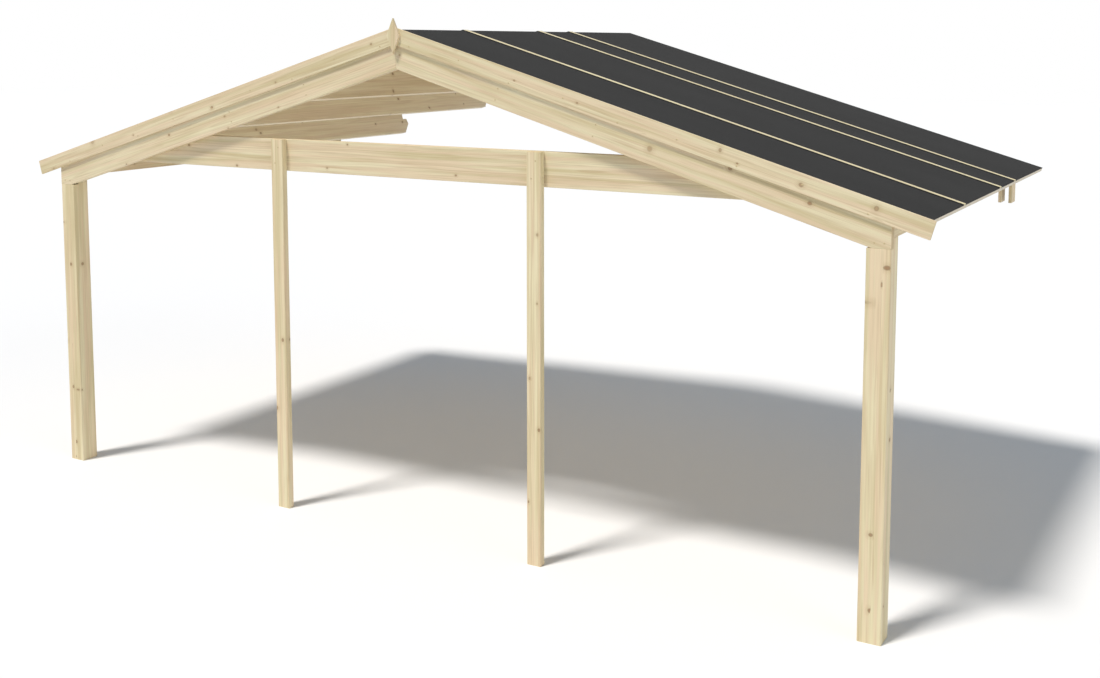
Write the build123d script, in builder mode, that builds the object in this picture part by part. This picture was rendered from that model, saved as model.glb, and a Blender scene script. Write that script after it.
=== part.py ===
from build123d import *
import os
from math import cos, radians, sin, tan

# Patio roof: an open timber gable that is carried by four posts along its front
# and hooked on to a cabin at its rear. X runs along the front, Y runs back under
# the roof, Z is up. The origin is the centre of the left corner post's foot.

os.makedirs("parts", exist_ok=True)

# Driving sizes, millimetres and degrees
post_spacing = 5640
corner_post = 120
middle_post_width = 88
middle_post_depth = 45
middle_post_offset = 918
post_arris_width = 3

roof_pitch = 16.4
roof_depth = 3010
eave_overhang = 170
deck_thickness = 19
felt_thickness = 4

plate_height = 2000
plate_thickness = 45
plate_outer_depth = 126
plate_rear_setback = 60

rafter_thickness = 45
rafter_depth = 195
rafter_seat_inset = 25

purlin_thickness = 45
purlin_depth = 195
purlin_rear_setback = 120
ridge_purlin_depth = 170
timber_arris_width = 2

tie_thickness = 45
tie_depth = 195
tie_below_purlin = 58
tie_end_setback = 310

cheek_thickness = 20
cheek_width = 120
cheek_drop = 130

barge_thickness = 14
barge_depth = 95
barge_above_felt = 12
barge_overrun = 30

batten_width = 45
batten_above_felt = 5

finial_thickness = 15
finial_width = 90
finial_height = 203
finial_drop = 13
finial_corner_radius = 7

# Where the nose of a purlin lies: how far it stands out and how deep it is cut
nose_length = 60
nose_top_drop = 78
nose_tip_drop = 122
nose_bottom_drop = 188
nose_shoulder = 46

# Places, as shares of the length that they follow
upper_purlin_share = 0.246
middle_purlin_share = 0.461
lower_purlin_share = 0.745
batten_shares = (0.238, 0.5415, 0.683)

# Worked out from the driving sizes
slope_cos = cos(radians(roof_pitch))
slope_sin = sin(radians(roof_pitch))
slope_tan = tan(radians(roof_pitch))
ridge_x = post_spacing / 2
post_inner = ridge_x - corner_post / 2
post_outer = ridge_x + corner_post / 2
front_y = -corner_post / 2
back_y = corner_post / 2
roof_back_y = front_y + roof_depth
rafter_back_y = front_y + rafter_thickness
tie_back_y = rafter_back_y + tie_thickness
plate_end_y = roof_back_y - plate_rear_setback
purlin_end_y = roof_back_y - purlin_rear_setback
plate_inner = post_outer - plate_thickness
apex_height = plate_height + plate_outer_depth + post_outer * slope_tan
deck_length = (post_outer + eave_overhang) / slope_cos
barge_length = deck_length + barge_overrun
felt_top = deck_thickness + felt_thickness
batten_top = felt_top + batten_above_felt
barge_top = felt_top + barge_above_felt
barge_bottom = barge_top - barge_depth
plate_run = plate_inner / slope_cos


def under_deck(across):
    """Height of the deck's underside at a distance across from the ridge."""
    return apex_height - across * slope_tan


def roof_point(along, above):
    """Point of the right-hand slope: down the slope from the ridge, and above the deck's underside."""
    across = along * slope_cos + above * slope_sin
    height = apex_height - along * slope_sin + above * slope_cos
    return (across, height)


def ridge_point(above):
    """Point over the ridge line, on the plumb cut of a layer of the slope."""
    return (0, apex_height + above / slope_cos)


def section(rear):
    """Upright plane across the roof at depth rear, with its x measured from the ridge."""
    return Plane(origin=(ridge_x, rear, 0), x_dir=(1, 0, 0), z_dir=(0, -1, 0))


def slope_layer(bottom, top, length):
    """Outline of a layer of the right-hand slope, plumb at the ridge and square at the eave."""
    return [ridge_point(bottom), ridge_point(top), roof_point(length, top), roof_point(length, bottom)]


def save(piece, name):
    """Label a finished piece and write it."""
    piece.part.label = name
    export_step(piece.part, f"parts/{name}.step")


def save_pair(piece, name):
    """Write a right-hand piece and its mirror image across the ridge."""
    save(piece, f"right_{name}")
    with BuildPart() as mirrored:
        mirror(piece.part, about=Plane.YZ.offset(ridge_x))
    save(mirrored, f"left_{name}")


tie_purlin_foot = roof_point(middle_purlin_share * plate_run + purlin_thickness, -purlin_depth)
tie_top = tie_purlin_foot[1] - tie_below_purlin
tie_bottom = tie_top - tie_depth
tie_half = post_inner - tie_end_setback
rafter_seat_start = post_inner + rafter_seat_inset
rafter_seat = under_deck(rafter_seat_start) - rafter_depth / slope_cos

# Corner posts, notched at the front for the rafter, with the wall plate on the rear step
with BuildPart() as corner:
    with BuildSketch(Plane.YZ.offset(ridge_x + post_inner)):
        with BuildLine():
            Polyline(
                (front_y, 0),
                (back_y, 0),
                (back_y, plate_height),
                (rafter_back_y, plate_height),
                (rafter_back_y, rafter_seat),
                (front_y, rafter_seat),
                close=True,
            )
        make_face()
    extrude(amount=corner_post)
    outer_arrises = corner.edges().filter_by(Axis.Z).filter_by(lambda edge: edge.length > rafter_seat / 2)
    chamfer(outer_arrises, post_arris_width)
save_pair(corner, "corner_post")

# Middle posts, flat against the front of the tie beam
middle_post_y = rafter_back_y - middle_post_depth / 2
with BuildPart() as middle:
    with BuildSketch(Plane(origin=(ridge_x + middle_post_offset, middle_post_y, 0))):
        Rectangle(middle_post_width, middle_post_depth)
    extrude(amount=tie_top)
    chamfer(middle.edges().filter_by(Axis.Z), post_arris_width)
save_pair(middle, "middle_post")

# Tie beam, cut to the roof slope at its ends
with BuildPart() as tie:
    with BuildSketch(section(tie_back_y)):
        with BuildLine():
            Polyline(
                (-tie_half, tie_bottom),
                (tie_half, tie_bottom),
                (tie_half, tie_top),
                (-tie_half, tie_top),
                close=True,
            )
        make_face()
        with BuildLine():
            Polyline(
                (-post_outer, 0),
                (post_outer, 0),
                (post_outer, under_deck(post_outer)),
                (0, apex_height),
                (-post_outer, under_deck(post_outer)),
                close=True,
            )
        make_face(mode=Mode.INTERSECT)
    extrude(amount=tie_thickness)
    chamfer(tie.edges().filter_by(Axis.X), timber_arris_width)
save(tie, "tie_beam")

# Front rafters, plumb at the ridge and seated level on the corner posts
with BuildPart() as rafter:
    with BuildSketch(section(rafter_back_y)):
        with BuildLine():
            Polyline(
                (0, apex_height),
                (post_outer, under_deck(post_outer)),
                (post_outer, rafter_seat),
                (rafter_seat_start, rafter_seat),
                (0, apex_height - rafter_depth / slope_cos),
                close=True,
            )
        make_face()
    extrude(amount=rafter_thickness)
save_pair(rafter, "front_rafter")

# Wall plates on the rear steps of the corner posts, with their tops cut to the slope
with BuildPart() as plate:
    with BuildSketch(section(plate_end_y)):
        with BuildLine():
            Polyline(
                (plate_inner, plate_height),
                (post_outer, plate_height),
                (post_outer, under_deck(post_outer)),
                (plate_inner, under_deck(plate_inner)),
                close=True,
            )
        make_face()
    extrude(amount=plate_end_y - rafter_back_y)
save_pair(plate, "wall_plate")

# Cheeks on both sides of each wall plate's rear end, which fork over the cabin's wall
for cheek_name, cheek_start in (("inner", plate_inner - cheek_thickness), ("outer", post_outer)):
    cheek_end = cheek_start + cheek_thickness
    with BuildPart() as cheek:
        with BuildSketch(section(plate_end_y)):
            with BuildLine():
                Polyline(
                    (cheek_start, plate_height - cheek_drop),
                    (cheek_end, plate_height - cheek_drop),
                    (cheek_end, under_deck(cheek_end)),
                    (cheek_start, under_deck(cheek_start)),
                    close=True,
                )
            make_face()
        extrude(amount=cheek_width)
    save_pair(cheek, f"{cheek_name}_plate_cheek")

# Purlins, square to the slope, each with a nose at its rear end that hooks into the cabin's gable
for purlin_name, purlin_share, purlin_front in (
    ("upper", upper_purlin_share, rafter_back_y),
    ("middle", middle_purlin_share, rafter_back_y),
    ("lower", lower_purlin_share, tie_back_y),
):
    purlin_across, purlin_up = roof_point(purlin_share * plate_run, 0)
    side_face = Plane(
        origin=(ridge_x + purlin_across, 0, purlin_up),
        x_dir=(0, 1, 0),
        z_dir=(slope_cos, 0, -slope_sin),
    )
    with BuildPart() as purlin:
        with BuildSketch(side_face):
            with BuildLine():
                Polyline(
                    (purlin_front, -purlin_depth),
                    (purlin_end_y, -purlin_depth),
                    (purlin_end_y, -nose_bottom_drop),
                    (purlin_end_y + nose_length, -nose_tip_drop),
                    (purlin_end_y + nose_shoulder, -nose_top_drop),
                    (purlin_end_y, -nose_top_drop),
                    (purlin_end_y, 0),
                    (purlin_front, 0),
                    close=True,
                )
            make_face()
        extrude(amount=purlin_thickness)
        lower_arrises = purlin.edges().filter_by(Axis.Y).group_by(Axis.Z)[0]
        chamfer(lower_arrises, timber_arris_width)
    save_pair(purlin, f"{purlin_name}_purlin")

# Ridge purlin under the meeting of the two slopes
ridge_half = purlin_thickness / 2
with BuildPart() as ridge_purlin:
    with BuildSketch(section(purlin_end_y)):
        with BuildLine():
            Polyline(
                (-ridge_half, apex_height - ridge_purlin_depth),
                (ridge_half, apex_height - ridge_purlin_depth),
                (ridge_half, under_deck(ridge_half)),
                (0, apex_height),
                (-ridge_half, under_deck(ridge_half)),
                close=True,
            )
        make_face()
    extrude(amount=purlin_end_y - rafter_back_y)
save(ridge_purlin, "ridge_purlin")

# Roof decks of boards laid down the slope
with BuildPart() as deck:
    with BuildSketch(section(roof_back_y)):
        with BuildLine():
            Polyline(*slope_layer(0, deck_thickness, deck_length), close=True)
        make_face()
    extrude(amount=roof_depth)
save_pair(deck, "roof_deck")

# Battens over the joints of the felt, and the strips of felt between them
batten_places = [front_y + share * roof_depth for share in batten_shares]
for number, batten_y in enumerate(batten_places, start=1):
    with BuildPart() as batten:
        with BuildSketch(section(batten_y + batten_width / 2)):
            with BuildLine():
                Polyline(*slope_layer(deck_thickness, batten_top, deck_length), close=True)
            make_face()
        extrude(amount=batten_width)
    save_pair(batten, f"felt_batten_{number}")

strip_starts = [front_y] + [place + batten_width / 2 for place in batten_places]
strip_ends = [place - batten_width / 2 for place in batten_places] + [roof_back_y]
for number, (strip_start, strip_end) in enumerate(zip(strip_starts, strip_ends), start=1):
    with BuildPart() as strip:
        with BuildSketch(section(strip_end)):
            with BuildLine():
                Polyline(*slope_layer(deck_thickness, felt_top, deck_length), close=True)
            make_face()
        extrude(amount=strip_end - strip_start)
    save_pair(strip, f"felt_strip_{number}")

# Bargeboards on the front edge of the roof
with BuildPart() as barge:
    with BuildSketch(section(front_y)):
        with BuildLine():
            Polyline(*slope_layer(barge_bottom, barge_top, barge_length), close=True)
        make_face()
    extrude(amount=barge_thickness)
save_pair(barge, "bargeboard")

# Finial over the joint of the bargeboards: a lozenge with its side corners rounded
finial_middle = apex_height - finial_drop
finial_tips = [
    (0, finial_middle + finial_height / 2),
    (finial_width / 2, finial_middle),
    (0, finial_middle - finial_height / 2),
    (-finial_width / 2, finial_middle),
]
with BuildPart() as finial:
    with BuildSketch(section(front_y - barge_thickness)) as finial_face:
        with BuildLine():
            Polyline(*finial_tips, close=True)
        make_face()
        side_corners = finial_face.vertices().group_by(Axis.X)
        fillet(side_corners[0] + side_corners[-1], finial_corner_radius)
    extrude(amount=finial_thickness)
save(finial, "ridge_finial")
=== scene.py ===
# %% [markdown]
# # A patio roof in planed spruce
# The roof is an open timber gable: four posts along the front, a tie beam, rafters, purlins and a
# felted deck. Its pieces come in as a fixed frame, at their real size, in metres. The lesson gives each
# of them its finish, adds what is too small for the frame, such as boards, turned-up felt, screws and
# nails, and lights the result.

# %% The frame
import math
import random

import bmesh
import bpy
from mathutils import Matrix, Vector


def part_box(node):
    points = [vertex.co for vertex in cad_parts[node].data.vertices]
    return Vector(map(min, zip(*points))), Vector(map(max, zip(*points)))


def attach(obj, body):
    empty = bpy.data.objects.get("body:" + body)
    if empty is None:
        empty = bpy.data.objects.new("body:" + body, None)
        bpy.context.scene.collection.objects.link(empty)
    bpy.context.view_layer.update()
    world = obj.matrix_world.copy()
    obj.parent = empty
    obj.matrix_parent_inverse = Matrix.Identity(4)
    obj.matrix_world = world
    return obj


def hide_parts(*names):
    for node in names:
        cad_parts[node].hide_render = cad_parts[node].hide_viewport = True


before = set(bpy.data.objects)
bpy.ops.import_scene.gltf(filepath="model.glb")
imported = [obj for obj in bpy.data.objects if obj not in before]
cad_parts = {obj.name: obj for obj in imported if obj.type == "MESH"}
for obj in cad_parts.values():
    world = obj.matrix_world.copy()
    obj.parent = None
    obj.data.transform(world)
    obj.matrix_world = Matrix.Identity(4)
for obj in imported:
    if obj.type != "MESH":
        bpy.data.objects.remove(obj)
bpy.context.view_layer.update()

# %% [markdown]
# ## Measuring the frame
# Everything that is added has to sit on the frame, so its places are read from the frame and not typed
# again. Each slope has three directions: down the slope, square to it, and back along the ridge. A
# point of the roof is then told by its distances along those directions from the apex, which is the
# underside of the deck at the ridge.

# %% Directions and measures of the roof
MM = 0.001
up = Vector((0, 0, 1))
out = Vector((1, 0, 0))
back = Vector((0, 1, 0))
sides = {"left": -1, "right": 1}

deck_corners = [corner.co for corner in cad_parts["right_roof_deck"].data.vertices]
roof_face = max(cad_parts["right_roof_deck"].data.polygons, key=lambda face: face.area).normal
pitch = math.atan2(abs(roof_face.x), abs(roof_face.z))
ridge_x = min(corner.x for corner in deck_corners)
apex = Vector((ridge_x, 0, min(corner.z for corner in deck_corners if corner.x < ridge_x + MM)))
down = {side: Vector((sign * math.cos(pitch), 0, -math.sin(pitch))) for side, sign in sides.items()}
square = {side: Vector((sign * math.sin(pitch), 0, math.cos(pitch))) for side, sign in sides.items()}


def reach(node, axis, start=Vector()):
    """Least and greatest distance of a node's corners along an axis, measured from start."""
    runs = [(corner.co - start).dot(axis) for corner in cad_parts[node].data.vertices]
    return min(runs), max(runs)


def on_slope(side, along, y, above):
    """Point of a slope: down it from the apex, at depth y, and above the deck's underside."""
    return apex + down[side] * along + back * y + square[side] * above


deck_top = reach("right_roof_deck", square["right"], apex)[1]
deck_run = reach("right_roof_deck", down["right"], apex)[1]
felt_top = reach("right_felt_strip_1", square["right"], apex)[1]
batten_top = reach("right_felt_batten_1", square["right"], apex)[1]
deck_front, deck_back = reach("right_roof_deck", back)
print("pitch", round(math.degrees(pitch), 2), "deck run", round(deck_run, 3), "apex", round(apex.z, 3))

# %% [markdown]
# ## Helpers for node trees
# Materials and Geometry Nodes are both trees of nodes. Written out in full, each node takes four or
# five lines, and the idea gets lost. A few helpers that make one node, feed it and hand back its output
# let a tree read like a sum.

# %% Node helpers: feeding a socket, and sums
def feed(tree, socket, value):
    """Give a socket a value of its own, or wire another node's output into it."""
    if isinstance(value, bpy.types.NodeSocket):
        tree.links.new(value, socket)
    else:
        socket.default_value = value


def maths(tree, operation, *values):
    """One sum of numbers."""
    node = tree.nodes.new("ShaderNodeMath")
    node.operation = operation
    for socket, value in zip(node.inputs, values):
        feed(tree, socket, value)
    return node.outputs[0]


def vectors(tree, operation, *values):
    """One sum of vectors, which gives a number where it is a length or a dot product."""
    node = tree.nodes.new("ShaderNodeVectorMath")
    node.operation = operation
    for socket, value in zip(node.inputs, values):
        feed(tree, socket, value)
    return node.outputs["Value" if operation in ("LENGTH", "DOT_PRODUCT") else "Vector"]


print("helpers: feed, maths, vectors")

# %% Node helpers: noise, soft steps and mixed colours
def noise(tree, vector, stretch, detail=2.0, output="Fac"):
    """Soft random values, with as many waves a metre along each direction as stretch says."""
    node = tree.nodes.new("ShaderNodeTexNoise")
    node.inputs["Scale"].default_value = 1.0
    node.inputs["Detail"].default_value = detail
    feed(tree, node.inputs["Vector"], vectors(tree, "MULTIPLY", vector, stretch))
    return node.outputs[output]


def step(tree, value, low, high, start=0.0, end=1.0):
    """Go softly from start to end while the value goes from low to high."""
    node = tree.nodes.new("ShaderNodeMapRange")
    node.interpolation_type = "SMOOTHSTEP"
    for socket, setting in zip(node.inputs, (value, low, high, start, end)):
        feed(tree, socket, setting)
    return node.outputs[0]


def mixed(tree, share, first, second):
    """Mix two colours: none of the second at share 0, all of it at 1."""
    node = tree.nodes.new("ShaderNodeMix")
    node.data_type = "RGBA"
    colours = [socket for socket in node.inputs if socket.type == "RGBA"]
    feed(tree, node.inputs[0], share)
    feed(tree, colours[0], first)
    feed(tree, colours[1], second)
    return next(socket for socket in node.outputs if socket.type == "RGBA")


print("helpers: noise, step, mixed")

# %% Node helpers: a new group
FLOAT, VECTOR, COLOUR = "NodeSocketFloat", "NodeSocketVector", "NodeSocketColor"


def new_group(name, kind, inputs, outputs):
    """An empty node group with named sockets; gives the tree, its inputs and its outputs."""
    tree = bpy.data.node_groups.new(name, kind)
    for label, socket_type in inputs.items():
        tree.interface.new_socket(name=label, in_out="INPUT", socket_type=socket_type)
    for label, socket_type in outputs.items():
        tree.interface.new_socket(name=label, in_out="OUTPUT", socket_type=socket_type)
    return tree, tree.nodes.new("NodeGroupInput").outputs, tree.nodes.new("NodeGroupOutput").inputs


print("helpers: new_group, with sockets of", FLOAT, VECTOR, COLOUR)

# %% [markdown]
# ## Soft patches
# Timber, felt and zinc all differ a little from place to place: a paler stretch, a dustier corner. One
# small group makes such patches, and each material sets their size and how hard their edges are.

# %% Shader group: soft patches
patches, given, result = new_group(
    "soft patches", "ShaderNodeTree",
    {"Vector": VECTOR, "Waves": VECTOR, "Softness": FLOAT}, {"Mask": FLOAT},
)
middle = 0.5
patch_noise = noise(patches, given["Vector"], given["Waves"], detail=3.0)
low_edge = maths(patches, "SUBTRACT", middle, given["Softness"])
high_edge = maths(patches, "ADD", middle, given["Softness"])
feed(patches, result["Mask"], step(patches, patch_noise, low_edge, high_edge))


def patch_mask(tree, vector, waves, softness):
    """Place the group of soft patches in a tree."""
    node = tree.nodes.new("ShaderNodeGroup")
    node.node_tree = patches
    for label, value in (("Vector", vector), ("Waves", waves), ("Softness", softness)):
        feed(tree, node.inputs[label], value)
    return node.outputs["Mask"]


print("group:", patches.name, len(patches.nodes), "nodes")

# %% [markdown]
# ## Spruce, grown in rings
# A plank is a straight cut through a trunk, so its figure is a slice of the trunk's rings. A flat
# picture of grain would break at every edge. Here the rings are worked out in space instead: each piece
# carries coordinates called grain, with x along its fibres and the trunk's pith at y = z = 0, and the
# distance from the pith gives the ring. The long faces then show streaks and the cut ends show arcs,
# and they meet at the edges.
#
# Knots are the feet of branches, and a branch runs straight out from the pith. So each one is a line: a
# place along the trunk and a way out from its middle, both picked by a Voronoi texture that is wrapped
# round the trunk. The distance from that line gives a knot that is round on one face of a plank, a long
# spike on another, and in the same place on both. The rings swerve round it.

# %% Shader group: spruce grain
spruce, given, result = new_group(
    "spruce grain", "ShaderNodeTree",
    {"Grain": VECTOR, "End Grain": FLOAT, "Pale": COLOUR, "Warm": COLOUR, "Blush": COLOUR,
     "Latewood": COLOUR, "Cut End": COLOUR, "Knot": COLOUR, "Knot Radius": FLOAT, "Figure": FLOAT},
    {"Colour": COLOUR, "Roughness": FLOAT, "Height": FLOAT},
)
grain = given["Grain"]


def times(*values):
    """Numbers multiplied with each other, in the spruce group."""
    product = values[0]
    for value in values[1:]:
        product = maths(spruce, "MULTIPLY", product, value)
    return product


print("group:", spruce.name, "with", len(spruce.interface.items_tree), "sockets")

# %% Spruce grain: branches, and the way to the nearest one
whorl_step = 0.42
branch_room = 0.85
knot_squeeze = (0.72, 1.0, 1.0)

across = vectors(spruce, "MULTIPLY", grain, (0, 1, 1))
outward = vectors(spruce, "MULTIPLY", vectors(spruce, "NORMALIZE", across), (branch_room,) * 3)
trunk_place = vectors(spruce, "MULTIPLY", grain, (1 / whorl_step, 0, 0))
branches = spruce.nodes.new("ShaderNodeTexVoronoi")
branches.inputs["Scale"].default_value = 1.0
feed(spruce, branches.inputs["Vector"], vectors(spruce, "ADD", trunk_place, outward))
branch = branches.outputs["Position"]
branch_foot = vectors(spruce, "MULTIPLY", branch, (whorl_step, 0, 0))
branch_way = vectors(spruce, "NORMALIZE", vectors(spruce, "MULTIPLY", branch, (0, 1, 1)))
run_out = maths(spruce, "MAXIMUM", vectors(spruce, "DOT_PRODUCT", across, branch_way), 0.0)
branch_line = vectors(spruce, "ADD", branch_foot, vectors(spruce, "MULTIPLY", branch_way, run_out))
from_branch = vectors(spruce, "MULTIPLY", vectors(spruce, "SUBTRACT", grain, branch_line), knot_squeeze)
print("branches:", whorl_step, "m from one whorl to the next")

# %% Spruce grain: knots, for the branches that grew; a few of them are larger, live and reddish
grown_above = 0.5
live_above = 0.86
smallest_knot = 0.55
live_growth = 0.25
no_knot = 0.0001
ragged_waves = (160, 160, 160)
ragged_depth = 0.003

branch_kind = spruce.nodes.new("ShaderNodeSeparateColor")
feed(spruce, branch_kind.inputs[0], branches.outputs["Color"])
growth, girth, life = branch_kind.outputs[:3]
grew = maths(spruce, "GREATER_THAN", growth, grown_above)
live = maths(spruce, "GREATER_THAN", life, live_above)
live_size = maths(spruce, "ADD", 1.0, times(live, live_growth))
knot_size = step(spruce, girth, 0.0, 1.0, smallest_knot, 1.0)
knot_size = times(knot_size, grew, given["Knot Radius"], live_size)
knot_size = maths(spruce, "MAXIMUM", knot_size, no_knot)
ragged = times(noise(spruce, grain, ragged_waves), ragged_depth)
knot_away = maths(spruce, "ADD", vectors(spruce, "LENGTH", from_branch), ragged)
knot_away = maths(spruce, "DIVIDE", knot_away, knot_size)

# Where the knot, its dark rim and its halo end, in the knot's own radii
knot_end = (0.6, 1.35)
rim_start = (0.55, 0.95)
rim_end = (0.95, 1.5)
halo_end = (0.9, 3.6)
knot = step(spruce, knot_away, *knot_end, 1.0, 0.0)
knot_rim = times(step(spruce, knot_away, *rim_start), step(spruce, knot_away, *rim_end, 1.0, 0.0))
knot_halo = step(spruce, knot_away, *halo_end, 1.0, 0.0)
print("knots: on", round(1 - grown_above, 2), "of the branches, live on", round(1 - live_above, 2))

# %% Spruce grain: rings, which wander along the trunk and swerve round the knots
ring_width = 0.0034
ring_wander = (0.0, 0.013, 0.013)
ring_swerve = 0.0045
wander_waves = (0.9, 9, 9)
latewood_power = 3.0
year_end = (0.9, 1.0)
good_year_waves = (0.5, 34, 34)
good_year_noise = (0.25, 0.7)
poor_year = 0.35

wander = noise(spruce, grain, wander_waves, output="Color")
wander = vectors(spruce, "SUBTRACT", wander, (0.5, 0.5, 0.5))
bent = vectors(spruce, "ADD", across, vectors(spruce, "MULTIPLY", wander, ring_wander))
pith_away = maths(spruce, "ADD", vectors(spruce, "LENGTH", bent), times(knot_halo, ring_swerve))
year = maths(spruce, "FRACT", maths(spruce, "DIVIDE", pith_away, ring_width))
latewood = maths(spruce, "POWER", year, latewood_power)
good_years = step(spruce, noise(spruce, grain, good_year_waves), *good_year_noise, poor_year, 1.0)
latewood = times(latewood, step(spruce, year, *year_end, 1.0, 0.0), good_years)
print("rings:", round(ring_width / MM, 2), "mm wide")

# %% [markdown]
# From afar a plank is known by bands and streaks that are far wider than its rings, so these have noises
# of their own, drawn out along the fibres and moved apart so that they don't lie on each other. The
# colours are then laid one over the other like thin glazes: the wood first, its marks next, and the knots
# last.

# %% Spruce grain: fibres, bands and streaks
fibre_waves = (5, 420, 420)
band_waves = (0.7, 30, 30)
band_softness = 0.11
blush_waves = (1.2, 26, 26)
blush_softness = 0.1
streak_waves = (1.8, 85, 85)
streak_noise = (0.5, 0.72)
fleck_waves = (3.6, 115, 115)
bleach_waves = (1.6, 60, 60)
mark_noise = (0.5, 0.7)


def apart(shift):
    """The grain coordinates, moved by a shift."""
    return vectors(spruce, "ADD", grain, shift)


fibre = noise(spruce, grain, fibre_waves, detail=3.0)
band = patch_mask(spruce, grain, band_waves, band_softness)
blush = patch_mask(spruce, apart((17.0, 0.7, 0.3)), blush_waves, blush_softness)
streak = step(spruce, noise(spruce, grain, streak_waves, detail=3.0), *streak_noise)
fleck = step(spruce, noise(spruce, apart((3.0, 0.2, 0.6)), fleck_waves), *mark_noise)
bleached = step(spruce, noise(spruce, apart((7.0, 0.4, 0.9)), bleach_waves), *mark_noise)
print("marks: bands, blushes, streaks, flecks and bleached places")

# %% Spruce grain: colours
faintest_knot = 0.45
darkest_knot = 0.85
rim_strength = 0.34
live_rim_loss = 0.2
rim_colour = (0.12, 0.068, 0.034, 1)
fibre_shade = 0.1

figure = given["Figure"]
live_colour = mixed(spruce, times(live, 0.55), given["Knot"], given["Latewood"])
knot_strength = step(spruce, growth, grown_above, 1.0, faintest_knot, darkest_knot)
rim_share = maths(spruce, "SUBTRACT", rim_strength, times(live, live_rim_loss))
colour = mixed(spruce, band, given["Pale"], given["Warm"])
for share, glaze in (
    (times(blush, 0.6), given["Blush"]),
    (times(bleached, 0.5), given["Pale"]),
    (times(figure, latewood, 0.75), given["Latewood"]),
    (times(figure, streak, 0.4), given["Latewood"]),
    (times(figure, fleck, 0.36), given["Latewood"]),
    (times(given["End Grain"], 0.6), given["Cut End"]),
    (times(knot_halo, 0.32), given["Latewood"]),
    (times(knot, knot_strength), live_colour),
    (times(knot_rim, rim_share), rim_colour),
):
    colour = mixed(spruce, share, colour, glaze)
shade = spruce.nodes.new("ShaderNodeHueSaturation")
feed(spruce, shade.inputs["Color"], colour)
feed(spruce, shade.inputs["Value"], maths(spruce, "ADD", 1 - fibre_shade / 2, times(fibre, fibre_shade)))
feed(spruce, result["Colour"], shade.outputs["Color"])
print("colour: knots cover from", faintest_knot, "to", darkest_knot)

# %% Spruce grain: roughness and height
planed_rough = 0.5
fibre_rough = 0.16
end_rough = 0.2
latewood_gloss = 0.1
rough = maths(spruce, "ADD", planed_rough, times(fibre, fibre_rough))
rough = maths(spruce, "ADD", rough, times(given["End Grain"], end_rough))
feed(spruce, result["Roughness"], maths(spruce, "SUBTRACT", rough, times(latewood, latewood_gloss)))

latewood_rise = 0.6
fibre_rise = 0.5
knot_rise = 0.4
height = maths(spruce, "ADD", times(latewood, latewood_rise), times(fibre, fibre_rise))
feed(spruce, result["Height"], maths(spruce, "ADD", height, times(knot, knot_rise)))
print("group:", spruce.name, len(spruce.nodes), "nodes")

# %% [markdown]
# ## The finishes
# Five cuts of spruce use that group. The posts are pale and warm. The beams, rafters, plates and
# bargeboards come from another batch, a shade cooler. The purlins get the palest copy, which is painted
# fill light: they stand in the roof's shade, and their paler colour stands in for the light there.
# The roof boards are a cheaper cut with more figure, and the battens on top of the roof are a thin, even
# cut with small knots. The Principled shader stays in each material, and only what changes over the
# surface comes out of the group.

# %% A spruce finish
def spruce_material(name, grain_depth, **looks):
    """A spruce finish that reads the piece's own grain coordinates."""
    material = bpy.data.materials.new(name)
    material.use_nodes = True
    tree = material.node_tree
    shader = tree.nodes["Principled BSDF"]
    shader.inputs["Specular IOR Level"].default_value = 0.3
    group = tree.nodes.new("ShaderNodeGroup")
    group.node_tree = spruce
    for label, value in looks.items():
        group.inputs[label.replace("_", " ")].default_value = value
    for label, attribute, output in (("Grain", "grain", "Vector"), ("End Grain", "end_grain", "Fac")):
        reader = tree.nodes.new("ShaderNodeAttribute")
        reader.attribute_name = attribute
        tree.links.new(reader.outputs[output], group.inputs[label])
    bump = tree.nodes.new("ShaderNodeBump")
    bump.inputs["Strength"].default_value = 0.5
    bump.inputs["Distance"].default_value = grain_depth
    tree.links.new(group.outputs["Height"], bump.inputs["Height"])
    tree.links.new(bump.outputs["Normal"], shader.inputs["Normal"])
    tree.links.new(group.outputs["Colour"], shader.inputs["Base Color"])
    tree.links.new(group.outputs["Roughness"], shader.inputs["Roughness"])
    return material


print("spruce finishes read two attributes of the mesh: grain and end_grain")

# %% Materials: spruce of the frame
post_spruce = spruce_material(
    "post spruce", grain_depth=0.4 * MM,
    Pale=(0.80, 0.715, 0.475, 1), Warm=(0.655, 0.555, 0.33, 1), Blush=(0.79, 0.60, 0.415, 1),
    Latewood=(0.49, 0.345, 0.18, 1), Cut_End=(0.58, 0.455, 0.27, 1), Knot=(0.33, 0.185, 0.09, 1),
    Knot_Radius=0.0088, Figure=0.62,
)
beam_spruce = spruce_material(
    "beam spruce", grain_depth=0.4 * MM,
    Pale=(0.77, 0.685, 0.46, 1), Warm=(0.615, 0.52, 0.305, 1), Blush=(0.76, 0.58, 0.405, 1),
    Latewood=(0.46, 0.33, 0.175, 1), Cut_End=(0.58, 0.455, 0.27, 1), Knot=(0.33, 0.185, 0.09, 1),
    Knot_Radius=0.0088, Figure=0.75,
)
# Painted fill light: the purlins' colours are paler than the other spruce so that their faces, which
# stand in the roof's shade, come out lighter.
purlin_spruce_painted_fill = spruce_material(
    "purlin spruce with painted fill", grain_depth=0.4 * MM,
    Pale=(0.86, 0.775, 0.555, 1), Warm=(0.74, 0.63, 0.42, 1), Blush=(0.80, 0.655, 0.475, 1),
    Latewood=(0.55, 0.41, 0.24, 1), Cut_End=(0.62, 0.50, 0.31, 1), Knot=(0.33, 0.185, 0.09, 1),
    Knot_Radius=0.0088, Figure=0.62,
)
print("materials:", [cut.name for cut in (post_spruce, beam_spruce, purlin_spruce_painted_fill)])

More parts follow.
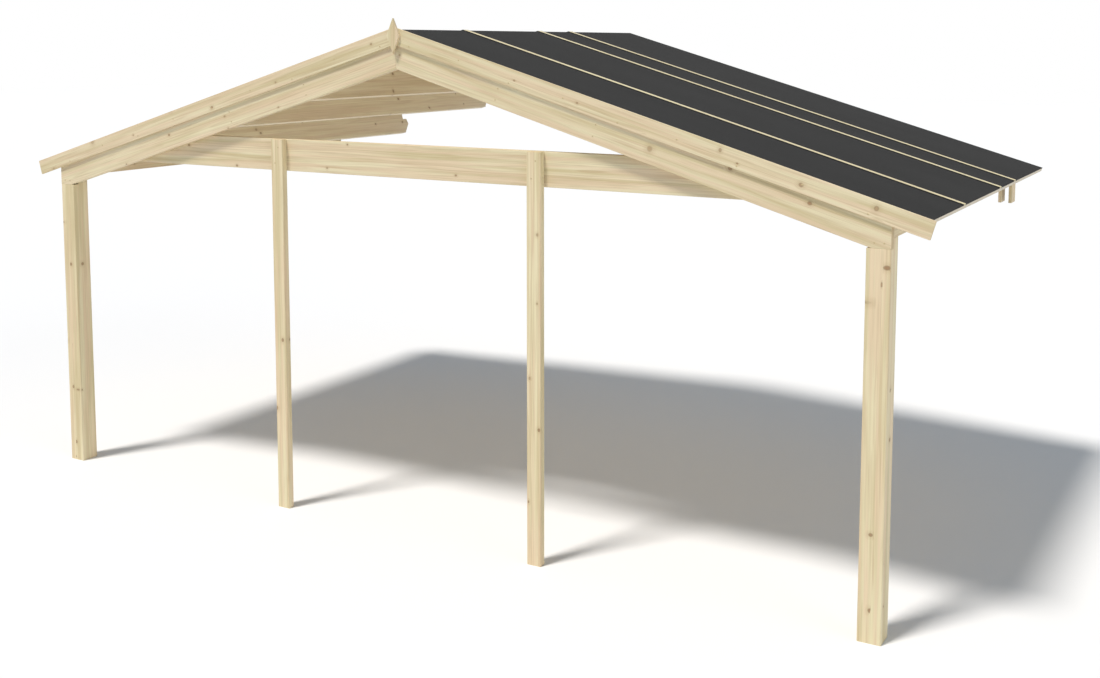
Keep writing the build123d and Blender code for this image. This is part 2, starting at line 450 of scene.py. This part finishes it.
# %% Materials: spruce of the roof
board_spruce = spruce_material(
    "board spruce", grain_depth=0.5 * MM,
    Pale=(0.79, 0.665, 0.445, 1), Warm=(0.66, 0.53, 0.32, 1), Blush=(0.72, 0.55, 0.38, 1),
    Latewood=(0.46, 0.31, 0.155, 1), Cut_End=(0.645, 0.61, 0.545, 1), Knot=(0.19, 0.095, 0.042, 1),
    Knot_Radius=0.009, Figure=0.75,
)
batten_spruce = spruce_material(
    "batten spruce", grain_depth=0.5 * MM,
    Pale=(0.715, 0.635, 0.40, 1), Warm=(0.62, 0.54, 0.335, 1), Blush=(0.655, 0.55, 0.345, 1),
    Latewood=(0.475, 0.38, 0.22, 1), Cut_End=(0.595, 0.52, 0.34, 1), Knot=(0.225, 0.13, 0.06, 1),
    Knot_Radius=0.007, Figure=0.6,
)
print("materials:", [cut.name for cut in (board_spruce, batten_spruce)])

# %% [markdown]
# Roofing felt is bitumen with slate granules pressed into its face. From afar it is an even charcoal.
# Close up the granules are about a millimetre, some paler than others, and the sheet is faintly cloudy
# where they lie thinner. Screws are yellow chromated, so that they hardly show on pale wood, and nails
# are hot dipped in zinc: dull grey, with patches of spangle.

# %% A plain finish
def plain_material(name, roughness, metallic=0.0, specular=0.5):
    """A material that sits on Object coordinates; gives it, its tree, its shader and the coordinates."""
    material = bpy.data.materials.new(name)
    material.use_nodes = True
    tree = material.node_tree
    shader = tree.nodes["Principled BSDF"]
    shader.inputs["Roughness"].default_value = roughness
    shader.inputs["Metallic"].default_value = metallic
    shader.inputs["Specular IOR Level"].default_value = specular
    place = tree.nodes.new("ShaderNodeTexCoord").outputs["Object"]
    return material, tree, shader, place


print("plain finishes sit on Object coordinates, in metres")

# %% Materials: roofing felt
granules_a_metre = 850.0
granule_height = 0.5 * MM
slate_above = 0.55
slate_share = 0.35
cloud_waves = (1.6, 4.5, 1.6)
cloud_softness = 0.25
dark_felt = (0.018, 0.018, 0.018, 1)
pale_felt = (0.0213, 0.0213, 0.0213, 1)
slate = (0.039, 0.039, 0.039, 1)

roofing_felt, tree, shader, place = plain_material("roofing felt", roughness=0.92, specular=0.15)
granules = tree.nodes.new("ShaderNodeTexVoronoi")
granules.inputs["Scale"].default_value = granules_a_metre
tree.links.new(place, granules.inputs["Vector"])
granule_pick = tree.nodes.new("ShaderNodeSeparateColor")
feed(tree, granule_pick.inputs[0], granules.outputs["Color"])
clouds = patch_mask(tree, place, cloud_waves, cloud_softness)
felt_colour = mixed(tree, clouds, dark_felt, pale_felt)
pale_granule = step(tree, granule_pick.outputs[0], slate_above, 1.0, 0.0, slate_share)
feed(tree, shader.inputs["Base Color"], mixed(tree, pale_granule, felt_colour, slate))
bump = tree.nodes.new("ShaderNodeBump")
bump.inputs["Strength"].default_value = 0.35
bump.inputs["Distance"].default_value = granule_height
feed(tree, bump.inputs["Height"], maths(tree, "SUBTRACT", 1.0, granules.outputs["Distance"]))
tree.links.new(bump.outputs["Normal"], shader.inputs["Normal"])
print("material:", roofing_felt.name, len(tree.nodes), "nodes")

# %% Materials: the metals
spangle_waves = (420, 420, 420)
spangle_softness = 0.2
dull_rough = 0.58
bright_rough = 0.42


def plated(name, dull, bright):
    """A plated metal, with spangle patches that are paler and smoother."""
    material, tree, shader, place = plain_material(name, roughness=0.5, metallic=1.0)
    spangle = patch_mask(tree, place, spangle_waves, spangle_softness)
    feed(tree, shader.inputs["Base Color"], mixed(tree, spangle, dull, bright))
    feed(tree, shader.inputs["Roughness"], step(tree, spangle, 0.0, 1.0, dull_rough, bright_rough))
    return material


zinc = plated("zinc plate", (0.36, 0.37, 0.38, 1), (0.52, 0.52, 0.52, 1))
chromate = plated("yellow chromate", (0.50, 0.40, 0.23, 1), (0.62, 0.52, 0.33, 1))
print("materials:", zinc.name, chromate.name)

# %% [markdown]
# ## Planed timbers
# A planing mill takes the sharp corner off every edge, and that small round is what catches the light.
# The frame's solids have crisp edges, so each timber is a copy of its solid with the loose triangles
# merged, the flat faces joined and the square edges bevelled by a millimetre or two. A bevel only takes
# wood away, so no size grows.
#
# Each copy then gets its grain coordinates: along its fibres first, and across it from a pith that is
# drawn at random but with a fixed seed, so that no two timbers look cut from the same plank. The pith
# may lie inside the timber or beside it, as it does where one log is sawn into several.

# %% Timber copies
arris = 1.6 * MM
square_edge = math.radians(50)
flat_edge = math.radians(0.5)
merge_gap = 0.01 * MM


def solid_copy(node):
    """A node's solid as a mesh to edit, merged and with its flat faces joined."""
    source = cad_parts[node].data
    mesh = bpy.data.meshes.new(node)
    corners = [corner.co for corner in source.vertices]
    mesh.from_pydata(corners, [], [face.vertices for face in source.polygons])
    shape = bmesh.new()
    shape.from_mesh(mesh)
    bmesh.ops.remove_doubles(shape, verts=shape.verts, dist=merge_gap)
    bmesh.ops.dissolve_limit(shape, angle_limit=flat_edge, verts=shape.verts, edges=shape.edges)
    return mesh, shape


def soften(shape, width):
    """Bevel the square edges of a shape."""
    edges = [edge for edge in shape.edges if edge.is_manifold and edge.calc_face_angle() > square_edge]
    bmesh.ops.bevel(
        shape, geom=edges, offset=width, segments=2, profile=0.5, affect="EDGES", clamp_overlap=True
    )


print("arris:", round(arris / MM, 2), "mm")

# %% Grain coordinates
draw = random.Random(11)
plank_room = 90
pith_swing = 0.7
pith_room = (35, 120)
end_cut = 0.7


def lay_grain(mesh, along, face):
    """Give a mesh its grain coordinates, and mark the faces that are cut across the fibres."""
    across = face.cross(along)
    corners = [corner.co for corner in mesh.vertices]
    centre = sum(corners, Vector()) / len(corners)
    plank = draw.uniform(0, plank_room)
    pith_turn = draw.choice((0, math.pi)) + draw.uniform(-pith_swing, pith_swing)
    pith_away = draw.uniform(*pith_room) * MM
    pith = -(face * math.cos(pith_turn) + across * math.sin(pith_turn)) * pith_away
    grain = mesh.attributes.new("grain", "FLOAT_VECTOR", "POINT")
    for value, corner in zip(grain.data, corners):
        away = corner - centre - pith
        value.vector = (away.dot(along) + plank, away.dot(face), away.dot(across))
    end_grain = mesh.attributes.new("end_grain", "FLOAT", "FACE")
    for value, polygon in zip(end_grain.data, mesh.polygons):
        value.value = float(abs(polygon.normal.dot(along)) > end_cut)


print("pith:", pith_room, "mm from the middle of a timber")

# %% A finished timber
def add_piece(name, mesh, slot, *nodes):
    """Put a finished mesh in the scene, riding on the frame and standing for its nodes."""
    piece = bpy.data.objects.new(name, mesh)
    bpy.context.scene.collection.objects.link(piece)
    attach(piece, "root")
    if nodes:
        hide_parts(*nodes)
    return piece


def timber(node, along, face, finish):
    """A planed copy of a node's solid, with the directions of its fibres and of one of its faces."""
    mesh, shape = solid_copy(node)
    soften(shape, arris)
    shape.to_mesh(mesh)
    shape.free()
    lay_grain(mesh, along, face)
    mesh.materials.append(finish)
    return add_piece(f"{node}_timber", mesh, "planed_spruce", node)


print("timbers of the frame:", sum("strip" not in node and "deck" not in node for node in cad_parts))

# %% Every timber of the frame
batten_numbers = (1, 2, 3)
timbers = [timber("tie_beam", out, back, beam_spruce), timber("ridge_purlin", back, out, beam_spruce)]
timbers.append(timber("ridge_finial", up, back, beam_spruce))
for side in sides:
    for name in ("corner_post", "middle_post"):
        timbers.append(timber(f"{side}_{name}", up, back, post_spruce))
    for name in ("inner_plate_cheek", "outer_plate_cheek"):
        timbers.append(timber(f"{side}_{name}", up, back, beam_spruce))
    for name in ("upper_purlin", "middle_purlin", "lower_purlin"):
        timbers.append(timber(f"{side}_{name}", back, down[side], purlin_spruce_painted_fill))
    for name in ("front_rafter", "bargeboard"):
        timbers.append(timber(f"{side}_{name}", down[side], back, beam_spruce))
    for number in batten_numbers:
        timbers.append(timber(f"{side}_felt_batten_{number}", down[side], square[side], batten_spruce))
    timbers.append(timber(f"{side}_wall_plate", back, out, beam_spruce))
print("timbers:", len(timbers), "pieces,", sum(len(piece.data.polygons) for piece in timbers), "faces")

# %% [markdown]
# ## The deck boards
# The deck is laid with boards that run down the slope, edge to edge. From below each joint shows as a
# small V, because the mill takes off the lower corners of every board. Twenty-eight like boards are a
# job for Geometry Nodes: the object's own mesh is one board, and the tree sets copies of it in a row.
# Each copy moves its grain coordinates by a random amount, so that every board has its own figure.

# %% Helpers that grow a mesh from a tree
def set_input(modifier, name, value):
    """Set a tree's named input on a modifier, by the identifier of its socket."""
    for item in modifier.node_group.interface.items_tree:
        if item.item_type == "SOCKET" and item.in_out == "INPUT" and item.name == name:
            modifier[item.identifier] = value


def grow(name, mesh, tree, **inputs):
    """Run a tree on a mesh and give the result as a plain mesh."""
    seedling = bpy.data.objects.new(name, mesh)
    bpy.context.scene.collection.objects.link(seedling)
    modifier = seedling.modifiers.new(tree.name, "NODES")
    modifier.node_group = tree
    for label, value in inputs.items():
        set_input(modifier, label.replace("_", " "), value)
    seedling.update_tag()
    depsgraph = bpy.context.evaluated_depsgraph_get()
    grown = bpy.data.meshes.new_from_object(seedling.evaluated_get(depsgraph))
    seedling.modifiers.remove(modifier)
    bpy.data.objects.remove(seedling)
    return grown


def node_between(tree, kind, geometry, **settings):
    """Add a node to the chain that the geometry runs along; gives the node and its geometry output."""
    node = tree.nodes.new(kind)
    for label, value in settings.items():
        setattr(node, label, value)
    tree.links.new(geometry, node.inputs[0])
    return node, node.outputs[0]


GEOMETRY = "NodeSocketGeometry"
WHOLE = "NodeSocketInt"
FINISH = "NodeSocketMaterial"
print("tree helpers ready")

# %% Geometry Nodes: a row of boards
board_row, given, result = new_group(
    "row of boards", "GeometryNodeTree",
    {"Board": GEOMETRY, "Count": WHOLE, "Step": VECTOR, "Plank Spread": VECTOR, "Seed": WHOLE,
     "Finish": FINISH},
    {"Boards": GEOMETRY},
)
line = board_row.nodes.new("GeometryNodeMeshLine")
feed(board_row, line.inputs["Count"], given["Count"])
feed(board_row, line.inputs["Offset"], given["Step"])
copies, chain = node_between(board_row, "GeometryNodeInstanceOnPoints", line.outputs[0])
feed(board_row, copies.inputs["Instance"], given["Board"])
plank_draw = board_row.nodes.new("FunctionNodeRandomValue")
plank_draw.data_type = "FLOAT_VECTOR"
feed(board_row, plank_draw.inputs["Max"], given["Plank Spread"])
feed(board_row, plank_draw.inputs["Seed"], given["Seed"])
marked, chain = node_between(
    board_row, "GeometryNodeStoreNamedAttribute", chain, data_type="FLOAT_VECTOR", domain="INSTANCE"
)
feed(board_row, marked.inputs["Name"], "plank_shift")
feed(board_row, marked.inputs["Value"], plank_draw.outputs["Value"])
print("tree:", board_row.name, "with a shift drawn for each copy")

# %% Geometry Nodes: each board's own figure
_, chain = node_between(board_row, "GeometryNodeRealizeInstances", chain)
readings = []
for attribute in ("grain", "plank_shift"):
    reader = board_row.nodes.new("GeometryNodeInputNamedAttribute")
    reader.data_type = "FLOAT_VECTOR"
    feed(board_row, reader.inputs["Name"], attribute)
    readings.append(reader.outputs["Attribute"])
moved, chain = node_between(
    board_row, "GeometryNodeStoreNamedAttribute", chain, data_type="FLOAT_VECTOR", domain="POINT"
)
feed(board_row, moved.inputs["Name"], "grain")
feed(board_row, moved.inputs["Value"], vectors(board_row, "ADD", *readings))
cleared, chain = node_between(board_row, "GeometryNodeRemoveAttribute", chain)
feed(board_row, cleared.inputs["Name"], "plank_shift")
finished, chain = node_between(board_row, "GeometryNodeSetMaterial", chain)
feed(board_row, finished.inputs["Material"], given["Finish"])
feed(board_row, result["Boards"], chain)
print("tree:", board_row.name, len(board_row.nodes), "nodes")

# %% A section run down a slope
def slope_prism(side, outline, end, name):
    """A mesh with an outline of (depth, above) points run down a slope, cut plumb at the ridge."""
    shape = bmesh.new()
    top = [shape.verts.new(on_slope(side, -above * math.tan(pitch), y, above)) for y, above in outline]
    foot = [shape.verts.new(on_slope(side, end, y, above)) for y, above in outline]
    shape.faces.new(top)
    shape.faces.new(reversed(foot))
    for first in range(len(outline)):
        second = (first + 1) % len(outline)
        shape.faces.new((top[first], foot[first], foot[second], top[second]))
    bmesh.ops.recalc_face_normals(shape, faces=shape.faces)
    mesh = bpy.data.meshes.new(name)
    shape.to_mesh(mesh)
    shape.free()
    return mesh


print("run of a board:", round(deck_run, 3), "m")

# %% One board, and the two decks
board_count = 28
board_step = (deck_back - deck_front) / board_count
board_gap = 0.4 * MM
board_chamfer = 4 * MM
plank_spread = (60.0, 0.05, 0.05)
board_left = deck_front + board_gap / 2
board_right = deck_front + board_step - board_gap / 2
board_outline = [
    (board_left + board_chamfer, 0), (board_right - board_chamfer, 0), (board_right, board_chamfer),
    (board_right, deck_top), (board_left, deck_top), (board_left, board_chamfer),
]
for seed, side in enumerate(sides):
    board = slope_prism(side, board_outline, deck_run, "board")
    lay_grain(board, down[side], square[side])
    boards = grow(
        "board", board, board_row, Count=board_count, Step=back * board_step, Plank_Spread=plank_spread,
        Seed=seed, Finish=board_spruce,
    )
    deck = add_piece(f"{side}_deck_boards", boards, "planed_spruce", f"{side}_roof_deck")
    print(deck.name, len(deck.data.polygons), "faces")

# %% [markdown]
# ## The felt
# Each strip of felt lies between two battens and is turned up against their sides, which is what keeps
# rain out of the joint. The frame has the flat strips. Here each one is made again as a profile with
# its turned-up edges, a little rounded at the bend because felt does not fold sharply, and run down the
# slope.

# %% Felt strips with turned-up edges
upstand = 3 * MM
bend = 3 * MM
bend_share = 0.3
strip_count = 4


def turned_edge(edge, inward):
    """Points of a turned-up edge, from its outer top round the bend to the flat; inward is 1 or -1."""
    face = edge + inward * upstand
    middle = (face + inward * bend * bend_share, felt_top + bend * bend_share)
    flat = (face + inward * bend, felt_top)
    return [(edge, batten_top), (face, batten_top), (face, felt_top + bend), middle, flat]


def felt_outline(front, rear, front_turned, rear_turned):
    """Section of a strip, from its underside round to its two edges."""
    front_edge = turned_edge(front, 1) if front_turned else [(front, felt_top)]
    rear_edge = turned_edge(rear, -1) if rear_turned else [(rear, felt_top)]
    return [(front, deck_top), (rear, deck_top), *rear_edge, *reversed(front_edge)]


for side in sides:
    for number in range(1, strip_count + 1):
        node = f"{side}_felt_strip_{number}"
        strip_front, strip_rear = reach(node, back)
        outline = felt_outline(strip_front, strip_rear, number > 1, number < strip_count)
        felt = slope_prism(side, outline, deck_run, node)
        felt.materials.append(roofing_felt)
        add_piece(f"{node}_turned_up", felt, "roofing_felt", node)
print("felt:", strip_count * len(sides), "strips")

# %% [markdown]
# ## Screws and nails
# A head is a few millimetres across, and there are some hundreds of them. Modelled one by one they
# would fill the file, so they are set out as bare points, each with the direction that it faces. A tree
# puts one small head on every point, turns it to face that way and gives it a random spin, as a
# screwdriver leaves it.

# %% Geometry Nodes: heads on points
head_tree, given, result = new_group(
    "heads on points", "GeometryNodeTree",
    {"Places": GEOMETRY, "Head": "NodeSocketObject", "Spin": FLOAT, "Seed": WHOLE, "Finish": FINISH},
    {"Heads": GEOMETRY},
)
facing = head_tree.nodes.new("GeometryNodeInputNamedAttribute")
facing.data_type = "FLOAT_VECTOR"
feed(head_tree, facing.inputs["Name"], "facing")
aim = head_tree.nodes.new("FunctionNodeAlignRotationToVector")
aim.axis = "Z"
feed(head_tree, aim.inputs["Vector"], facing.outputs["Attribute"])
spin_draw = head_tree.nodes.new("FunctionNodeRandomValue")
spin_draw.data_type = "FLOAT"
most_spin = [socket for socket in spin_draw.inputs if socket.type == "VALUE"][1]
feed(head_tree, most_spin, given["Spin"])
feed(head_tree, spin_draw.inputs["Seed"], given["Seed"])
spin_angle = next(socket for socket in spin_draw.outputs if socket.type == "VALUE")
spin = head_tree.nodes.new("FunctionNodeAxisAngleToRotation")
feed(head_tree, spin.inputs["Axis"], up)
feed(head_tree, spin.inputs["Angle"], spin_angle)
turned = head_tree.nodes.new("FunctionNodeRotateRotation")
turned.rotation_space = "LOCAL"
feed(head_tree, turned.inputs["Rotation"], aim.outputs[0])
feed(head_tree, turned.inputs["Rotate By"], spin.outputs[0])
head_shape = head_tree.nodes.new("GeometryNodeObjectInfo")
feed(head_tree, head_shape.inputs["Object"], given["Head"])
heads, chain = node_between(head_tree, "GeometryNodeInstanceOnPoints", given["Places"])
feed(head_tree, heads.inputs["Instance"], head_shape.outputs["Geometry"])
feed(head_tree, heads.inputs["Rotation"], turned.outputs[0])
_, chain = node_between(head_tree, "GeometryNodeRealizeInstances", chain)
finished, chain = node_between(head_tree, "GeometryNodeSetMaterial", chain)
feed(head_tree, finished.inputs["Material"], given["Finish"])
feed(head_tree, result["Heads"], chain)
print("tree:", head_tree.name, len(head_tree.nodes), "nodes")

# %% A head built from rings
head_corners = 12


def ring(shape, radius, height, star=1.0):
    """A ring of corners; with star below 1, every second one is drawn in."""
    corners = []
    for number in range(head_corners):
        turn = math.tau * number / head_corners
        reach_out = radius * (star if number % 2 else 1.0)
        corners.append(shape.verts.new((reach_out * math.cos(turn), reach_out * math.sin(turn), height)))
    return corners


def head_object(name, rings):
    """A closed head from rings that run up its outside and, if it has a recess, down into it."""
    shape = bmesh.new()
    loops = [ring(shape, *values) for values in rings]
    shape.faces.new(reversed(loops[0]))
    for lower, upper in zip(loops, loops[1:]):
        for first in range(head_corners):
            second = (first + 1) % head_corners
            shape.faces.new((lower[first], lower[second], upper[second], upper[first]))
    shape.faces.new(loops[-1])
    mesh = bpy.data.meshes.new(name)
    shape.to_mesh(mesh)
    shape.free()
    return bpy.data.objects.new(name, mesh)


print("heads: rings of", head_corners, "corners")

# %% The two heads: a raised screw with a star recess, and a flat clout nail
screw_radius = 4.6 * MM
screw_rise = 1.4 * MM
screw_crown = (screw_radius * 0.82, screw_rise * 0.85)
screw_edge = screw_rise * 0.4
recess_radius = 2.3 * MM
recess_floor = 0.4 * MM
recess_taper = 0.9
recess_star = 0.72
nail_radius = 4.5 * MM
nail_rise = 0.9 * MM
nail_edge = nail_rise * 0.6
nail_crown = nail_radius * 0.85
sunk = -0.5 * MM
screw_head = head_object("screw_head", [
    (screw_radius, sunk), (screw_radius, screw_edge), screw_crown,
    (recess_radius, screw_rise, recess_star), (recess_radius * recess_taper, recess_floor, recess_star),
])
nail_head = head_object("nail_head", [
    (nail_radius, sunk), (nail_radius, nail_edge), (nail_crown, nail_rise),
])
print("heads:", len(screw_head.data.polygons), "and", len(nail_head.data.polygons), "faces")

# %% [markdown]
# Screws go where one timber is fixed to the next: bargeboard to rafter, rafter to purlin and to post,
# middle post to tie beam, cheek to plate. Nails hold the battens to the deck, and with them the edges
# of the felt.

# %% Places along a line
def spread(start, end, most_apart):
    """Even places from start to end, no further apart than given."""
    gaps = math.ceil((end - start) / most_apart)
    return [start + (end - start) * number / gaps for number in range(gaps + 1)]


def between(low, high, share):
    """The place at a share of the way from low to high."""
    return low + (high - low) * share


print("places from 0 to 1, at most 0.3 apart:", spread(0.0, 1.0, 0.3))

# %% Screws of the gable
front = -back
barge_screw_ends = (120 * MM, 280 * MM)
barge_screw_gap = 360 * MM
barge_screw_rows = (-42 * MM, -18 * MM)
purlin_screw_rows = (-95 * MM, -160 * MM)
post_screw_shares = (0.32, 0.72)
post_screw_drop = 22 * MM
tie_screw_shares = ((0.35, 0.25), (0.65, 0.75))


def gable_screws(side):
    """Screws of the gable: bargeboard to rafter, rafter to purlins and post, middle post to tie beam."""
    barge_front = reach(f"{side}_bargeboard", back)[0]
    rafter_front = reach(f"{side}_front_rafter", back)[0]
    places = []
    barge_runs = spread(barge_screw_ends[0], deck_run - barge_screw_ends[1], barge_screw_gap)
    for number, along in enumerate(barge_runs):
        places.append(on_slope(side, along, barge_front, barge_screw_rows[number % 2]))
    for name in ("upper_purlin", "middle_purlin"):
        purlin_along = sum(reach(f"{side}_{name}", down[side], apex)) / 2
        for above in purlin_screw_rows:
            places.append(on_slope(side, purlin_along, rafter_front, above))
    post_low, post_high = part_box(f"{side}_corner_post")
    for share in post_screw_shares:
        x = between(post_low.x, post_high.x, share)
        places.append(Vector((x, rafter_front, post_high.z - post_screw_drop)))
    post_low, post_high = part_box(f"{side}_middle_post")
    tie_low, tie_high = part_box("tie_beam")
    for x_share, tie_share in tie_screw_shares:
        x = between(post_low.x, post_high.x, x_share)
        places.append(Vector((x, post_low.y, between(tie_low.z, tie_high.z, tie_share))))
    return [(place, front) for place in places]


print("screws in each half of the gable:", [len(gable_screws(side)) for side in sides])

# %% Screws of the cheeks
cheek_screw_places = ((0.28, 30 * MM), (0.72, 85 * MM))


def cheek_screws(side):
    """Screws through the cheeks into the wall plate, from both sides of the fork."""
    places = []
    plate_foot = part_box(f"{side}_wall_plate")[0].z
    for name, outward in (("outer_plate_cheek", sides[side]), ("inner_plate_cheek", -sides[side])):
        cheek_low, cheek_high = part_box(f"{side}_{name}")
        x = cheek_high.x if outward > 0 else cheek_low.x
        for y_share, height in cheek_screw_places:
            y = between(cheek_low.y, cheek_high.y, y_share)
            places.append((Vector((x, y, plate_foot + height)), out * outward))
    return places


screw_places = [place for side in sides for place in gable_screws(side) + cheek_screws(side)]
print("screws:", len(screw_places))

# %% Where the nails go, and both sets of heads
nail_ends = (60 * MM, 50 * MM)
nail_gap = 170 * MM
nail_swing = 9 * MM
nail_places = []
for side in sides:
    for number in batten_numbers:
        batten_y = sum(reach(f"{side}_felt_batten_{number}", back)) / 2
        for turn, along in enumerate(spread(nail_ends[0], deck_run - nail_ends[1], nail_gap)):
            y = batten_y + (nail_swing if turn % 2 else -nail_swing)
            nail_places.append((on_slope(side, along, y, batten_top), square[side]))


def set_heads(name, places, head, seed, finish):
    """Grow heads on a list of places and add them to the roof as one piece."""
    points, directions = zip(*places)
    mesh = bpy.data.meshes.new(name)
    mesh.from_pydata(points, [], [])
    facing = mesh.attributes.new("facing", "FLOAT_VECTOR", "POINT")
    for value, direction in zip(facing.data, directions):
        value.vector = direction
    grown = grow(name, mesh, head_tree, Head=head, Spin=math.tau, Seed=seed, Finish=finish)
    piece = add_piece(name, grown, None)
    print(name, len(places), "heads,", len(piece.data.polygons), "faces")


set_heads("frame_screws", screw_places, screw_head, seed=3, finish=chromate)
set_heads("batten_nails", nail_places, nail_head, seed=5, finish=zinc)
for head in (screw_head, nail_head):
    bpy.data.objects.remove(head)

# %% [markdown]
# ## Floor and light
# The roof stands in plain daylight: one sun, high on the front left and wide enough for soft shadows,
# an even sky, and a weak low light from the right that lifts the shaded sides of the posts. The sun is
# a little warm and the sky a little cool, so that together they are white on the floor and the shadow
# stays neutral. The floor is a pale plane that keeps the shadow. The sky is white where the camera
# looks at it and where it shows in gloss, but it lights the timber less strongly, so that the colours
# stay as they are written.

# %% Floor
floor_size = 120.0
floor_grey = (0.88, 0.88, 0.88, 1)
half = floor_size / 2
floor_corners = [(-half, -half, 0), (half, -half, 0), (half, half, 0), (-half, half, 0)]
floor_mesh = bpy.data.meshes.new("floor")
floor_mesh.from_pydata(floor_corners, [], [(0, 1, 2, 3)])
floor = bpy.data.objects.new("floor", floor_mesh)
bpy.context.scene.collection.objects.link(floor)
floor_paint, _, shader, _ = plain_material("floor paint", roughness=1.0, specular=0.0)
shader.inputs["Base Color"].default_value = floor_grey
floor_mesh.materials.append(floor_paint)
print("floor:", floor_size, "m square")

# %% Sun, low light and sky
def add_sun(name, travel, energy, width, colour):
    """A sun lamp whose light travels in a direction; width is its disc's angle in degrees."""
    lamp = bpy.data.lights.new(name, "SUN")
    lamp.energy = energy
    lamp.angle = math.radians(width)
    lamp.color = colour
    sun = bpy.data.objects.new(name, lamp)
    sun.rotation_euler = Vector(travel).to_track_quat("-Z", "Y").to_euler()
    bpy.context.scene.collection.objects.link(sun)


add_sun("sun", travel=(0.181, 0.388, -0.903), energy=2.9, width=10, colour=(1.0, 0.96, 0.915))
add_sun("low light", travel=(-0.93, 0.25, -0.26), energy=0.63, width=40, colour=(0.95, 1.0, 1.0))

sky_light = (0.254, 0.293, 0.342, 1)
sky_seen = (1, 1, 1, 1)
sky = bpy.data.worlds.new("sky")
bpy.context.scene.world = sky
sky.use_nodes = True
tree = sky.node_tree
light_path = tree.nodes.new("ShaderNodeLightPath")
seen = maths(tree, "MAXIMUM", light_path.outputs["Is Camera Ray"], light_path.outputs["Is Glossy Ray"])
seen = maths(tree, "MAXIMUM", seen, light_path.outputs["Is Transmission Ray"])
feed(tree, tree.nodes["Background"].inputs["Color"], mixed(tree, seen, sky_light, sky_seen))
print("light: two suns, sky", sky_light)

# %% [markdown]
# ## Camera
# The camera stands off the right-hand corner at about ridge height, so that the felt shows at a low
# angle and the ridge lies nearly on the horizon. A little downward shift of the lens keeps the posts
# close to upright.

# %% Camera
lens_data = bpy.data.cameras.new("camera")
lens_data.lens = 42.46
lens_data.sensor_width = 36.0
lens_data.shift_y = -0.15
camera = bpy.data.objects.new("camera", lens_data)
camera.location = (7.332, -6.099, 2.920)
camera_turn, camera_tilt = 30.013, -5.765
camera.rotation_euler = (math.radians(90 + camera_tilt), 0, math.radians(camera_turn))
bpy.context.scene.collection.objects.link(camera)
bpy.context.scene.camera = camera
bpy.context.scene.view_settings.view_transform = "Standard"
print("camera at", [round(place, 2) for place in camera.location])
